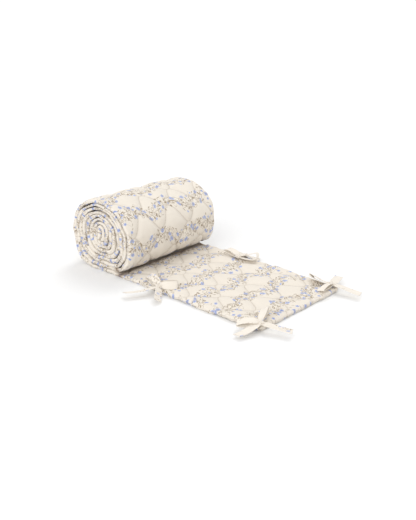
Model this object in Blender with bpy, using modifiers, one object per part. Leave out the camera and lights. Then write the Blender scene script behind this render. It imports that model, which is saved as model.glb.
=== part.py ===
"""Crib bumper: a long quilted band, rolled up with its last stretch lying flat, and four fabric
ties in bows on the long edges of that stretch.

Frame: metres, +Z up. The origin is on the underside of the band, below the core of the roll. +X runs
along the band to its flat end and Y across the band's width; the end of the roll that shows its
winding faces -Y.
"""

import math

import bmesh
import bpy
from mathutils import Vector

NAME = "crib_bumper"

# The band
WIDTH = 0.300                 # across the band, between its two long edges
FLAT_END = 0.502              # where the flat stretch ends
FLAT_THICKNESS = 0.0115       # of the quilt where nothing presses on it
TAIL_STEPS = 9                # sections of the flat stretch
LIFT_START = 0.055            # where the flat stretch begins to come up to its full thickness
LIFT_LENGTH = 0.120
END_TAPER = 0.007             # the length over which the flat end thins to its seam
END_SHARES = (0.90, 0.45)     # shares of the thickness where that begins and at the seam
FLAT_DRAW = 0.025             # share of the width by which the flat stretch is narrower than the roll
FLAT_DRAW_LENGTH = 0.150      # the length of band over which it narrows
END_DRAW = 0.015              # share of the width that the flat end's seam draws in
END_DRAW_LENGTH = 0.070

# The roll
TURNS = 8
STATIONS = 26                 # sections to a turn
CORE_X, CORE_Z = 0.000, 0.097
CORE_HALF = (0.0105, 0.019)   # half width and half height of the first turn, an upright slot
HOLLOW_HALF = (0.0016, 0.0100)
ROLL_LEFT = 0.1155            # outline of the roll about its core
ROLL_RIGHT = 0.1140
ROLL_TOP = 0.0870
ROLL_BOTTOM = 0.1010          # more than CORE_Z, so the roll has a flat to lie on
SQUARE_BELOW = 3.0            # exponent of the outline's lower half, which sags
PLAIN_GAP = 0.0006            # between turns that touch
FLAT_TURN = 0.25              # the roll lies on its flat this far each side of a bottom point, in turns
SLOT_SHUTS = (0.78, 0.18)     # turns where the core's slot begins to fill the first turn, and over which
SKEW = 0.027                  # the roll lies this much out of square with the band
TAPER = 0.018                 # share of its height by which the roll is lower at its far end
FAR_REACH = 0.006             # the roll's far edge hangs out this much past the band's

# Where the turns lie loose. All in turns back from the roll's last bottom point, and metres
LOOSE = (
    # turns_back, inner_face_lifts, outer_face_sinks, spread
    (0.40, 0.0026, 0.0000, 0.085),
    (1.40, 0.0010, 0.0030, 0.085),
    (2.42, 0.0000, 0.0010, 0.070),
    (0.86, 0.0012, 0.0000, 0.050),
    (1.86, 0.0008, 0.0020, 0.050),
    (2.86, 0.0000, 0.0010, 0.050),
)

# Sections across the band: the sewn edges are thin and the middle full
SECTIONS = (
    # share_of_half_width, share_of_thickness
    (-1.000, 0.42),
    (-0.955, 0.88),
    (-0.800, 1.00),
    (0.800, 1.00),
    (0.955, 0.88),
    (1.000, 0.42),
)

# The ties
TIE_WIDTH = 0.019
TIE_THICKNESS = 0.0016
KNOT_BLOCK = (0.0207, 0.0171, 0.0110)  # sides of the block that is rounded into a knot
ROOT_SHARE = 0.55             # share of its width that a strand keeps in the knot
ROOT_STEPS = 3                # segments over which it spreads to its full width

# Each tie has two loops and two tails. A strand runs through its points (x, y, z) in millimetres,
# and the lean is the angle of the ribbon's width from level, in degrees.
TIES = {
    "tie_near_middle": {
        "knot": (207, -148, 18),
        "strands": (
            (((207, -148, 20), (192, -143, 25.5), (168, -133, 26), (151, -127, 23), (147, -126, 20),
              (152, -128, 18), (172, -136, 17.5), (192, -143, 17.5), (207, -148, 17)), 28),
            (((207, -148, 22.5), (216, -145, 22.5), (227, -137, 22.7), (235, -128, 22.7), (238, -121, 22.7),
              (234, -118, 22.7), (225, -124, 22.7), (214, -135, 22.5), (207, -145, 22)), 110),
            (((207, -148, 18), (215, -157, 18), (225, -168, 14.5), (238, -182, 11), (249, -193, 9.5)), 42),
            (((207, -148, 18), (200, -158, 16.5), (194, -172, 14.5), (187, -190, 13.5), (178, -206, 13.3),
              (168, -221, 13.5)), -16),
        ),
    },
    "tie_near_corner": {
        "knot": (497, -137, 18),
        "strands": (
            (((497, -137, 20), (485, -147, 23), (472, -157, 22), (462, -165, 18.5), (459, -168, 16),
              (463, -165, 13.8), (474, -156, 13), (486, -147, 14), (497, -137, 17)), 15),
            (((497, -137, 21), (490, -124, 27.5), (479, -104, 29.5), (468, -86, 26.5), (464.5, -80, 22.8),
              (467, -85, 19.5), (478, -104, 18.8), (489, -124, 18.5), (497, -137, 18.5)), 32),
            (((497, -137, 18), (496, -150, 17.2), (494, -163, 14.2), (491, -180, 10), (486, -199, 8)), 0),
            (((497, -137, 18), (509, -134, 18), (523, -130, 16.5), (543, -123.5, 14.5),
              (565, -117.5, 13.5)), -3),
        ),
    },
    "tie_far_corner": {
        "knot": (487, 133, 18),
        "strands": (
            (((487, 133, 20), (476, 130, 21), (459, 132, 21), (437, 140, 21), (424, 144, 21.2),
              (431, 134, 20.3), (445, 129, 19.1), (460, 127, 18.5), (474, 127, 18.5), (487, 132, 17.5)), -27),
            (((487, 133, 19.5), (489, 119, 24), (491, 101, 24.5), (491.5, 87, 21), (491.5, 83, 18.5),
              (491, 87, 16.5), (490, 101, 16), (488.5, 119, 16.2), (487, 133, 17.5)), -18),
            (((487, 133, 18), (484, 148, 18.5), (479, 163, 17), (474, 178, 15.5), (468, 193, 14)), -8),
            (((487, 133, 18), (500, 135, 18), (515, 137.5, 16.5), (537, 139.5, 13.8), (562, 140.5, 12.5)), 3),
        ),
    },
    "tie_far_middle": {
        "knot": (211, 124, 17.2),
        "strands": (
            (((211, 124, 19), (200, 126.5, 23.5), (186, 128, 26.5), (174, 128.5, 27), (168, 128.5, 25.2),
              (172, 128, 22.5), (185, 127, 19), (199, 125.5, 16.8), (211, 124, 16)), 3),
            (((211, 124, 19), (222, 131, 21), (234, 143, 24), (244, 154, 26.8), (250.5, 152, 25.2),
              (257, 144, 22.3), (261, 136, 20), (254, 126, 18.3), (237, 122.5, 17.5), (223, 123, 16.8),
              (211, 124, 16.5)), 15),
            (((211, 124, 18), (209, 137, 18.5), (205, 149, 16.5), (200, 158, 10), (190, 166, 4.5),
              (160, 170, 3)), 0),
            (((211, 124, 17.5), (214, 137, 17.5), (216, 149, 15.5), (218, 158, 9.5), (224, 166, 4.5),
              (242, 169, 3)), 0),
        ),
    },
}
STRAND_STEP = 0.0055          # the length of one ribbon segment
LOOP_CLOSES = 0.010           # a strand whose ends are nearer than this is a loop

# Materials, as base colour and roughness
QUILT_LOOK = ((0.80, 0.70, 0.58), 0.85)
TIE_LOOK = ((0.86, 0.74, 0.62), 0.85)


def clear_scene():
    for thing in list(bpy.data.objects):
        bpy.data.objects.remove(thing)


def material(name, colour, roughness):
    mat = bpy.data.materials.new(name)
    mat.use_nodes = True
    shader = mat.node_tree.nodes["Principled BSDF"]
    shader.inputs["Base Color"].default_value = (*colour, 1.0)
    shader.inputs["Roughness"].default_value = roughness
    shader.inputs["Metallic"].default_value = 0.0
    return mat


def add_object(name, mesh, mat, collection):
    thing = bpy.data.objects.new(name, mesh)
    mesh.materials.append(mat)
    collection.objects.link(thing)
    return thing


def smooth(t):
    t = min(max(t, 0.0), 1.0)
    return t * t * (3.0 - 2.0 * t)


def super_point(angle, right, left, top, bottom):
    """A point of a closed outline with its own reach each way, round above and squarer below."""
    c, s = math.cos(angle), math.sin(angle)
    power = 2.0 / (SQUARE_BELOW if s < 0.0 else 2.0)
    x = (right if c >= 0.0 else left) * abs(c) ** power * (1.0 if c >= 0.0 else -1.0)
    z = (top if s >= 0.0 else bottom) * abs(s) ** power * (1.0 if s >= 0.0 else -1.0)
    return x, z


def winding_angle(turn):
    """Angle about the core, counter-clockwise seen from -Y, of a place on the winding; the last turn
    ends at the bottom."""
    return math.radians(-90.0) + 2.0 * math.pi * (turn - TURNS)


def outer_face(turn):
    """The outer face of the winding at a number of turns from its inner end, as (x, z)."""
    level = max(turn, 0.0) / TURNS
    angle = winding_angle(turn)
    core = super_point(angle, CORE_HALF[0], CORE_HALF[0], CORE_HALF[1], CORE_HALF[1])
    rim = super_point(angle, ROLL_RIGHT, ROLL_LEFT, ROLL_TOP, ROLL_BOTTOM)
    x = core[0] + (rim[0] - core[0]) * level
    z = core[1] + (rim[1] - core[1]) * level
    floor = (CORE_Z - CORE_HALF[1]) * round(TURNS - turn) / TURNS
    near_floor = abs(TURNS - turn - round(TURNS - turn)) < FLAT_TURN
    sink = sum(row[2] * smooth(1.0 - abs(TURNS - turn - row[0]) / row[3]) for row in LOOSE)
    reach = math.hypot(x, z)
    x, z = CORE_X + x * (1.0 - sink / reach), CORE_Z + z * (1.0 - sink / reach)
    return x, (max(z, floor) if near_floor else z)


def inner_face(turn):
    """The inner face: the last turn's outer face with the gap between them."""
    x, z = outer_face(turn)
    under = outer_face(turn - 1.0) if turn >= 1.0 else None
    if under is None:
        angle = winding_angle(turn)
        core = super_point(angle, CORE_HALF[0], CORE_HALF[0], CORE_HALF[1], CORE_HALF[1])
        slot = super_point(angle, HOLLOW_HALF[0], HOLLOW_HALF[0], HOLLOW_HALF[1], HOLLOW_HALF[1])
        step = smooth((turn - SLOT_SHUTS[0]) / SLOT_SHUTS[1])
        under = (CORE_X + slot[0] + (core[0] - slot[0]) * step,
                 CORE_Z + slot[1] + (core[1] - slot[1]) * step)
    gap = PLAIN_GAP + sum(row[1] * smooth(1.0 - abs(TURNS - turn - row[0]) / row[3]) for row in LOOSE)
    out_x, out_z = x - under[0], z - under[1]
    length = math.hypot(out_x, out_z)
    return under[0] + out_x * gap / length, under[1] + out_z * gap / length


def tail_station(x, lift, end_share):
    """A section of the flat stretch, whose thickness starts from the lift under the roll."""
    thick = lift + (FLAT_THICKNESS - lift) * smooth((x - LIFT_START) / LIFT_LENGTH)
    skew = 1.0 - smooth(x / FLAT_END)
    drawn = (1.0 - FLAT_DRAW * smooth(x / FLAT_DRAW_LENGTH)
             - END_DRAW * smooth((x - FLAT_END + END_DRAW_LENGTH) / END_DRAW_LENGTH))
    return x, 0.0, x, thick, end_share, skew, drawn


def band_stations():
    """The band's sections from the core to the flat end, each as (outer x, outer z, inner x, inner z,
    share of thickness, share of the roll's skew, share of the width)."""
    rows = []
    count = TURNS * STATIONS
    for i in range(count + 1):
        turn = i / STATIONS
        rows.append((*outer_face(turn), *inner_face(turn), 1.0, 1.0, 1.0))
    lift = rows[-1][3]
    for i in range(1, TAIL_STEPS + 1):
        rows.append(tail_station(FLAT_END * i / TAIL_STEPS, lift, 1.0))
    rows[-1] = tail_station(FLAT_END - END_TAPER, lift, END_SHARES[0])
    rows.append(tail_station(FLAT_END, lift, END_SHARES[1]))
    return rows


def quilted_band(mat, collection):
    """One solid: the wound section lofted across the width, thinner at the two long edges."""
    mesh = bmesh.new()
    stations = band_stations()
    rings = []
    for across, share in SECTIONS:
        outer, inner = [], []
        height = 1.0 - TAPER * 0.5 * (1.0 + across)
        for ox, oz, ix, iz, end_share, skew, drawn in stations:
            y = across * 0.5 * WIDTH * drawn + max(across, 0.0) * FAR_REACH * skew
            mid_x, mid_z = 0.5 * (ox + ix), 0.5 * (oz + iz)
            s = share * end_share
            shift = -SKEW * y * skew
            for face, x, z in ((outer, ox, oz), (inner, ix, iz)):
                spot = (mid_x + (x - mid_x) * s + shift, y, (mid_z + (z - mid_z) * s) * height)
                face.append(mesh.verts.new(spot))
        rings.append(outer + inner[::-1])
    n = len(rings[0])
    for a, b in zip(rings, rings[1:]):
        for i in range(n):
            j = (i + 1) % n
            mesh.faces.new((a[i], a[j], b[j], b[i]))
    half = n // 2
    for ring in (rings[0], rings[-1]):
        for i in range(half - 1):
            mesh.faces.new((ring[i], ring[i + 1], ring[n - 2 - i], ring[n - 1 - i]))
    bmesh.ops.recalc_face_normals(mesh, faces=mesh.faces)
    data = bpy.data.meshes.new("quilted_band")
    mesh.to_mesh(data)
    mesh.free()
    return add_object("quilted_band", data, mat, collection)


def spline_points(points):
    """A smooth route through the given points, as vectors in metres, about STRAND_STEP apart."""
    pts = [Vector(p) * 0.001 for p in points]
    pts = [pts[0] * 2.0 - pts[1], *pts, pts[-1] * 2.0 - pts[-2]]
    route = []
    for a, b, c, d in zip(pts, pts[1:], pts[2:], pts[3:]):
        pieces = max(2, round((c - b).length / STRAND_STEP))
        for i in range(pieces):
            t = i / pieces
            route.append(0.5 * ((2.0 * b) + (c - a) * t + (2.0 * a - 5.0 * b + 4.0 * c - d) * t * t
                                + (3.0 * b - a - 3.0 * c + d) * t ** 3))
    route.append(pts[-2])
    return route


def ribbon(points, lean):
    """A closed strip of the ties' cloth along a route. A loop bends about its one width direction, as
    cloth that can't stretch does."""
    mesh = bmesh.new()
    route = spline_points(points)
    looped = (route[-1] - route[0]).length < LOOP_CLOSES
    first = route[len(route) // 2] - route[0] if looped else route[-1] - route[0]
    level = Vector((first.y, -first.x, 0.0)).normalized()
    tilt = math.radians(lean)
    side = (level * math.cos(tilt) + Vector((0.0, 0.0, math.sin(tilt)))).normalized()
    rings = []
    for i, point in enumerate(route):
        along = (route[min(i + 1, len(route) - 1)] - route[max(i - 1, 0)]).normalized()
        across = side if looped else (side - along * side.dot(along)).normalized()
        up = along.cross(across).normalized()
        near = (min(i, len(route) - 1 - i) if looped else i) / ROOT_STEPS
        half = 0.5 * TIE_WIDTH * (ROOT_SHARE + (1.0 - ROOT_SHARE) * smooth(near))
        corners = ((half, 0.5), (-half, 0.5), (-half, -0.5), (half, -0.5))
        rings.append([mesh.verts.new(point + across * w + up * (h * TIE_THICKNESS)) for w, h in corners])
    for a, b in zip(rings, rings[1:]):
        for k in range(4):
            mesh.faces.new((a[k], a[(k + 1) % 4], b[(k + 1) % 4], b[k]))
    mesh.faces.new(rings[0])
    mesh.faces.new(rings[-1][::-1])
    bmesh.ops.recalc_face_normals(mesh, faces=mesh.faces)
    return mesh


def knot(place):
    """The ball of the bow: a block rounded by subdivision."""
    bpy.ops.mesh.primitive_cube_add(size=1.0, location=Vector(place) * 0.001)
    ball = bpy.context.object
    ball.scale = KNOT_BLOCK
    bpy.ops.object.transform_apply(location=False, rotation=False, scale=True)
    rounding = ball.modifiers.new("rounding", "SUBSURF")
    rounding.levels = 2
    rounding.render_levels = 2
    return ball


def tie(name, plan, mat, collection, cutters):
    """A bow: its knot with two loops and two tails joined on."""
    ball = knot(plan["knot"])
    bpy.context.collection.objects.unlink(ball)
    collection.objects.link(ball)
    ball.name = name
    ball.data.name = name
    ball.data.materials.append(mat)
    for number, (points, lean) in enumerate(plan["strands"]):
        data = bpy.data.meshes.new(f"{name}_strand_{number}")
        strip = ribbon(points, lean)
        strip.to_mesh(data)
        strip.free()
        strand = bpy.data.objects.new(data.name, data)
        cutters.objects.link(strand)
        strand.hide_render = True
        strand.display_type = "WIRE"
        union = ball.modifiers.new(f"strand {number}", "BOOLEAN")
        union.operation = "UNION"
        union.solver = "EXACT"
        union.object = strand
    return ball


def main():
    clear_scene()
    collection = bpy.data.collections.new(NAME)
    cutters = bpy.data.collections.new(f"{NAME}_cutters")
    bpy.context.scene.collection.children.link(collection)
    bpy.context.scene.collection.children.link(cutters)
    quilted_band(material("printed_quilt", *QUILT_LOOK), collection)
    tie_cloth = material("tie_cloth", *TIE_LOOK)
    for name, plan in TIES.items():
        tie(name, plan, tie_cloth, collection, cutters)


main()
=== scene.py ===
"""Looks of the rolled crib bumper: the quilted, printed band and its four fabric bows.

Everything is in metres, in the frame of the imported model: X runs along the band to its flat end, Y
across it, Z up, and the end of the roll that shows its winding faces -Y. A place on the band's cloth
is given by s, the distance along the band from its flat end, and y, the distance from its middle.
"""

import math

import bpy
import numpy as np
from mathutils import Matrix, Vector


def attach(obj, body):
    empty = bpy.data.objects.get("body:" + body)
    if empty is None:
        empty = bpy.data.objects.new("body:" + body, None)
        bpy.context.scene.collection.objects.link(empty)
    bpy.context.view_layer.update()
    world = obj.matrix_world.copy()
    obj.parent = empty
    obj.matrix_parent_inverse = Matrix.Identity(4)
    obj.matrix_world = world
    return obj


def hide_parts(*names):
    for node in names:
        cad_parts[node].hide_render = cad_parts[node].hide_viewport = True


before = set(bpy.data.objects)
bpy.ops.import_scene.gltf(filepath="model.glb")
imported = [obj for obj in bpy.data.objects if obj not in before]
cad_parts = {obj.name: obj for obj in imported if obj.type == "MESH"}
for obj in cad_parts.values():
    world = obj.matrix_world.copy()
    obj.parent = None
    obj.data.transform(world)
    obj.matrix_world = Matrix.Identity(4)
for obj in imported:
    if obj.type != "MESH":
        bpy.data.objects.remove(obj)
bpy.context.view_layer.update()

# -------- sizes of the band, as in the CAD
WIDTH = 0.300
FLAT_END = 0.502
FLAT_THICKNESS = 0.0115
FLAT_DRAW = 0.025             # share of the width by which the flat stretch is narrower than the roll
FLAT_DRAW_LENGTH = 0.150
END_DRAW = 0.015              # share of the width that the flat end's seam draws in
END_DRAW_LENGTH = 0.070

TURNS = 8
CORE_X, CORE_Z = 0.000, 0.097
CORE_HALF = (0.0105, 0.019)
HOLLOW_HALF = (0.0016, 0.0100)
ROLL_LEFT = 0.1155
ROLL_RIGHT = 0.1140
ROLL_TOP = 0.0870
ROLL_BOTTOM = 0.1010
SQUARE_BELOW = 3.0
PLAIN_GAP = 0.0006
FLAT_TURN = 0.25              # the roll lies on its flat this far each side of a bottom point, in turns
SLOT_SHUTS = (0.78, 0.18)     # turns where the core's slot begins to fill the first turn, and over which
SKEW = 0.027
TAPER = 0.018                 # share of its height by which the roll is lower at its far end
FAR_REACH = 0.006             # the roll's far edge hangs out this much past the band's
LIFT_START, LIFT_LENGTH = 0.055, 0.120  # where the flat stretch comes up to its full thickness

LOOSE = (
    # turns_back, inner_face_lifts, outer_face_sinks, spread
    (0.40, 0.0026, 0.0000, 0.085),
    (1.40, 0.0010, 0.0030, 0.085),
    (2.42, 0.0000, 0.0010, 0.070),
    (0.86, 0.0012, 0.0000, 0.050),
    (1.86, 0.0008, 0.0020, 0.050),
    (2.86, 0.0000, 0.0010, 0.050),
)

# -------- the quilting and the sewn edges
SEAM_PITCH = 0.052            # between the mean lines of neighbouring seams, along the band
SEAM_SWING = 0.026            # each seam swings this far to both sides, so neighbours touch
SEAM_WAVE = 0.094             # length of one swing, across the band
SEAM_START = -0.0135          # s of seam 0
SEAM_SHIFT = 0.054            # y of a crest
SEAM_WANDER, SEAM_WANDER_RATE = 0.0014, 31.0
EDGE_ROUND = 0.0052           # reach of the rounding at the sewn edges
EDGE_WAVES = (0.0011, 0.0012)  # heights of the sewn edges' short and long waves
EDGE_FULLNESS = 0.18          # share by which the thickness varies along a sewn edge
EDGE_THIN = 0.16              # share of the thickness that is left at the very edge
GATHERS = (0.0022, 0.0026)    # short and long wander of the sewn edges, across the band
END_WAVE = 0.0010             # wander of the flat end's seam
CORNER_ROUND = 0.010          # radius of the flat end's corners

ROLL_FREE = ((0.93, 0.06), (0.16, 0.08))  # the outer face is free between these turns back, with ramps
FLAT_FREE_RAMP = 0.05         # the flat stretch's upper face comes free of the roll over this length
UNDER_SHARES = (0.6, 0.35)    # how much of a seam shows on the outermost turn's hidden face, and deeper

OUTER_PRINT = (-0.0092, 0.0)  # where the print lies on the face that is outermost on the roll
INNER_PRINT = (0.0, 1.3)      # and on the face that is uppermost on the flat stretch

STITCH_PITCH, STITCH_LENGTH = 0.0032, 0.0024
STITCH_THREAD = 0.00055       # thickness of the quilting thread
STITCH_CLEAR = 0.006          # the seams' stitches end this far from the sewn edges

CREASE_GAP = 0.007            # the crease begins where the roll is this far over its flat stretch
TUCK_LENGTH = 0.055           # over this length the roll's outer face turns in toward the crease
TUCK_NEAR, TUCK_FAR = 0.0012, 0.0034

# -------- the cloth simulation of the quilting
SIM_STEP = 0.0031             # cell of its grid along the band
SIM_ACROSS = 97               # grid points across it
SIM_SCALE = 20.0              # the sheet is simulated this much larger
SIM_ROUGH = 0.0002            # height of the sheet's first unevenness
SIM_SEAM = 0.0019             # reach of a seam's hold
SIM_EXCESS = 0.024            # share by which the cloth is too large
SIM_FRAMES = 8
SIM_GAIN = 0.68               # share of the height that is used, as the wadding holds the cloth flatter

SIM_SINK, SIM_VALLEY, SIM_FOLDS = 0.0015, 0.0017, 0.0011  # what is taken off, cut at seams and added

# Heights of the formula that stands in where nothing is simulated
PUFF_HEIGHT, PUFF_SINK, SEAM_CUT = 0.0030, 0.0034, 0.0022
PUCKER_HEIGHT, FOLD_HEIGHT, GATHER_HEIGHT = 0.0007, 0.0009, 0.0010

# -------- mesh steps
FINE_STEP = 0.0031            # along the stretch that shows
COARSE_STEP = 0.0075          # along the inner turns
ACROSS_CELLS = 44             # coarse cells across the band; the fine mesh has twice as many

# -------- the ties, as in the CAD
TIE_WIDTH = 0.019
TIE_THICKNESS = 0.0012
KNOT_SIZE = (0.0170, 0.0140, 0.0090)
ROOT_SHARE = 0.55             # share of its width that a strand keeps in the knot
LOOP_CLOSES = 0.010           # a strand whose ends are nearer than this is a loop
TIE_STEP = 0.0024             # mesh step along a strand
TIE_GATHER = 0.0165           # a strand reaches its full width this far from the knot
TAIL_SLANT = 0.0030           # how far a tail's end is cut aslant
TIE_RIPPLE, TIE_TWIST, ROOT_FOLD = 0.0005, 0.10, 0.0013
KNOT_ROWS, KNOT_COLUMNS = 14, 20

# Knot places and the strands' routes are in millimetres; each route has its lean in degrees
TIES = {
    "tie_near_middle": {
        "knot": (207, -148, 18),
        "strands": (
            (((207, -148, 20), (192, -143, 25.5), (168, -133, 26), (151, -127, 23), (147, -126, 20),
              (152, -128, 18), (172, -136, 17.5), (192, -143, 17.5), (207, -148, 17)), 28),
            (((207, -148, 22.5), (216, -145, 22.5), (227, -137, 22.7), (235, -128, 22.7), (238, -121, 22.7),
              (234, -118, 22.7), (225, -124, 22.7), (214, -135, 22.5), (207, -145, 22)), 110),
            (((207, -148, 18), (215, -157, 18), (225, -168, 14.5), (238, -182, 11), (249, -193, 9.5)), 42),
            (((207, -148, 18), (200, -158, 16.5), (194, -172, 14.5), (187, -190, 13.5), (178, -206, 13.3),
              (168, -221, 13.5)), -16),
        ),
    },
    "tie_near_corner": {
        "knot": (497, -137, 18),
        "strands": (
            (((497, -137, 20), (485, -147, 23), (472, -157, 22), (462, -165, 18.5), (459, -168, 16),
              (463, -165, 13.8), (474, -156, 13), (486, -147, 14), (497, -137, 17)), 15),
            (((497, -137, 21), (490, -124, 27.5), (479, -104, 29.5), (468, -86, 26.5), (464.5, -80, 22.8),
              (467, -85, 19.5), (478, -104, 18.8), (489, -124, 18.5), (497, -137, 18.5)), 32),
            (((497, -137, 18), (496, -150, 17.2), (494, -163, 14.2), (491, -180, 10), (486, -199, 8)), 0),
            (((497, -137, 18), (509, -134, 18), (523, -130, 16.5), (543, -123.5, 14.5),
              (565, -117.5, 13.5)), -3),
        ),
    },
    "tie_far_corner": {
        "knot": (487, 133, 18),
        "strands": (
            (((487, 133, 20), (476, 130, 21), (459, 132, 21), (437, 140, 21), (424, 144, 21.2),
              (431, 134, 20.3), (445, 129, 19.1), (460, 127, 18.5), (474, 127, 18.5), (487, 132, 17.5)), -27),
            (((487, 133, 19.5), (489, 119, 24), (491, 101, 24.5), (491.5, 87, 21), (491.5, 83, 18.5),
              (491, 87, 16.5), (490, 101, 16), (488.5, 119, 16.2), (487, 133, 17.5)), -18),
            (((487, 133, 18), (484, 148, 18.5), (479, 163, 17), (474, 178, 15.5), (468, 193, 14)), -8),
            (((487, 133, 18), (500, 135, 18), (515, 137.5, 16.5), (537, 139.5, 13.8), (562, 140.5, 12.5)), 3),
        ),
    },
    "tie_far_middle": {
        "knot": (211, 124, 17.2),
        "strands": (
            (((211, 124, 19), (200, 126.5, 23.5), (186, 128, 26.5), (174, 128.5, 27), (168, 128.5, 25.2),
              (172, 128, 22.5), (185, 127, 19), (199, 125.5, 16.8), (211, 124, 16)), 3),
            (((211, 124, 19), (222, 131, 21), (234, 143, 24), (244, 154, 26.8), (250.5, 152, 25.2),
              (257, 144, 22.3), (261, 136, 20), (254, 126, 18.3), (237, 122.5, 17.5), (223, 123, 16.8),
              (211, 124, 16.5)), 15),
            (((211, 124, 18), (209, 137, 18.5), (205, 149, 16.5), (200, 158, 10), (190, 166, 4.5),
              (160, 170, 3)), 0),
            (((211, 124, 17.5), (214, 137, 17.5), (216, 149, 15.5), (218, 158, 9.5), (224, 166, 4.5),
              (242, 169, 3)), 0),
        ),
    },
}


# ======== camera, floor and light
VIEW_AZIMUTH, VIEW_ELEVATION, VIEW_DISTANCE = 43.2, 21.1, 1.7645
VIEW_TARGET = (0.230, -0.0099, 0.050)
LENS_MM, SENSOR_MM = 51.2, 36.0
FLOOR_RADIUS, FLOOR_DROP, FLOOR_SIDES = 60.0, 0.0004, 64
FLOOR_WHITE = 0.88
ROOM_STRENGTH = 0.88
SUNS = (
    # name, comes_from, strength, spread_degrees
    ("key", (-0.5, 1.3, 1.9), 0.70, 30.0),
    ("fill", (0.4, -1.6, 0.8), 1.20, 60.0),
)


def make_camera():
    azimuth, elevation = math.radians(VIEW_AZIMUTH), math.radians(VIEW_ELEVATION)
    back = Vector((math.sin(azimuth) * math.cos(elevation), -math.cos(azimuth) * math.cos(elevation),
                   math.sin(elevation)))
    data = bpy.data.cameras.new("camera")
    data.lens = LENS_MM
    data.sensor_width = SENSOR_MM
    data.clip_end = 200.0
    camera = bpy.data.objects.new("camera", data)
    camera.location = Vector(VIEW_TARGET) + back * VIEW_DISTANCE
    camera.rotation_euler = back.to_track_quat("Z", "Y").to_euler()
    bpy.context.scene.collection.objects.link(camera)
    bpy.context.scene.camera = camera


def soft_sun(name, place, strength, spread):
    """A far light that comes from the direction of a place and is as wide as an angle in degrees."""
    data = bpy.data.lights.new(name, "SUN")
    data.energy = strength
    data.angle = math.radians(spread)
    light = bpy.data.objects.new(name, data)
    light.location = place
    light.rotation_euler = Vector(place).to_track_quat("Z", "Y").to_euler()
    bpy.context.scene.collection.objects.link(light)


def make_stage():
    """A white floor in an even white room, with one wide soft light behind and one in front."""
    mesh = bpy.data.meshes.new("floor")
    angles = [2 * math.pi * i / FLOOR_SIDES for i in range(FLOOR_SIDES)]
    ring = [(FLOOR_RADIUS * math.cos(a), FLOOR_RADIUS * math.sin(a), 0.0) for a in angles]
    mesh.from_pydata(ring, [], [list(range(FLOOR_SIDES))])
    floor = bpy.data.objects.new("floor", mesh)
    floor.location.z = -FLOOR_DROP
    bpy.context.scene.collection.objects.link(floor)
    mat = bpy.data.materials.new("floor")
    mat.use_nodes = True
    shader = mat.node_tree.nodes["Principled BSDF"]
    shader.inputs["Base Color"].default_value = (FLOOR_WHITE, FLOOR_WHITE, FLOOR_WHITE, 1.0)
    shader.inputs["Roughness"].default_value = 0.95
    shader.inputs["Specular IOR Level"].default_value = 0.1
    mesh.materials.append(mat)

    world = bpy.data.worlds.new("studio")
    world.use_nodes = True
    backdrop = world.node_tree.nodes["Background"]
    backdrop.inputs["Color"].default_value = (1.0, 1.0, 1.0, 1.0)
    backdrop.inputs["Strength"].default_value = ROOM_STRENGTH
    bpy.context.scene.world = world
    for sun in SUNS:
        soft_sun(*sun)
    bpy.context.scene.view_settings.view_transform = "Standard"
    bpy.context.scene.view_settings.look = "None"


# ======== the band's route
def smooth(t):
    t = np.clip(t, 0.0, 1.0)
    return t * t * (3.0 - 2.0 * t)


def super_point(angle, right, left, top, bottom):
    """A point of a closed outline with its own reach each way, round above and squarer below."""
    c, s = math.cos(angle), math.sin(angle)
    power = 2.0 / (SQUARE_BELOW if s < 0.0 else 2.0)
    x = (right if c >= 0.0 else left) * abs(c) ** power * (1.0 if c >= 0.0 else -1.0)
    z = (top if s >= 0.0 else bottom) * abs(s) ** power * (1.0 if s >= 0.0 else -1.0)
    return x, z


def winding_angle(turn):
    return math.radians(-90.0) + 2.0 * math.pi * (turn - TURNS)


def outer_face(turn):
    """The outer face of the winding at a number of turns from its inner end, as (x, z)."""
    level = max(turn, 0.0) / TURNS
    angle = winding_angle(turn)
    core = super_point(angle, CORE_HALF[0], CORE_HALF[0], CORE_HALF[1], CORE_HALF[1])
    rim = super_point(angle, ROLL_RIGHT, ROLL_LEFT, ROLL_TOP, ROLL_BOTTOM)
    x = core[0] + (rim[0] - core[0]) * level
    z = core[1] + (rim[1] - core[1]) * level
    floor = (CORE_Z - CORE_HALF[1]) * round(TURNS - turn) / TURNS
    near_floor = abs(TURNS - turn - round(TURNS - turn)) < FLAT_TURN
    sink = sum(row[2] * smooth(1.0 - abs(TURNS - turn - row[0]) / row[3]) for row in LOOSE)
    reach = math.hypot(x, z)
    x, z = CORE_X + x * (1.0 - sink / reach), CORE_Z + z * (1.0 - sink / reach)
    return x, (max(z, floor) if near_floor else z)


def inner_face(turn):
    """The inner face: the last turn's outer face with the gap between them."""
    x, z = outer_face(turn)
    if turn >= 1.0:
        under = outer_face(turn - 1.0)
    else:
        angle = winding_angle(turn)
        core = super_point(angle, CORE_HALF[0], CORE_HALF[0], CORE_HALF[1], CORE_HALF[1])
        slot = super_point(angle, HOLLOW_HALF[0], HOLLOW_HALF[0], HOLLOW_HALF[1], HOLLOW_HALF[1])
        step = smooth((turn - SLOT_SHUTS[0]) / SLOT_SHUTS[1])
        under = (CORE_X + slot[0] + (core[0] - slot[0]) * step,
                 CORE_Z + slot[1] + (core[1] - slot[1]) * step)
    gap = PLAIN_GAP + sum(row[1] * smooth(1.0 - abs(TURNS - turn - row[0]) / row[3]) for row in LOOSE)
    out_x, out_z = x - under[0], z - under[1]
    length = math.hypot(out_x, out_z)
    return under[0] + out_x * gap / length, under[1] + out_z * gap / length


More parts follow.
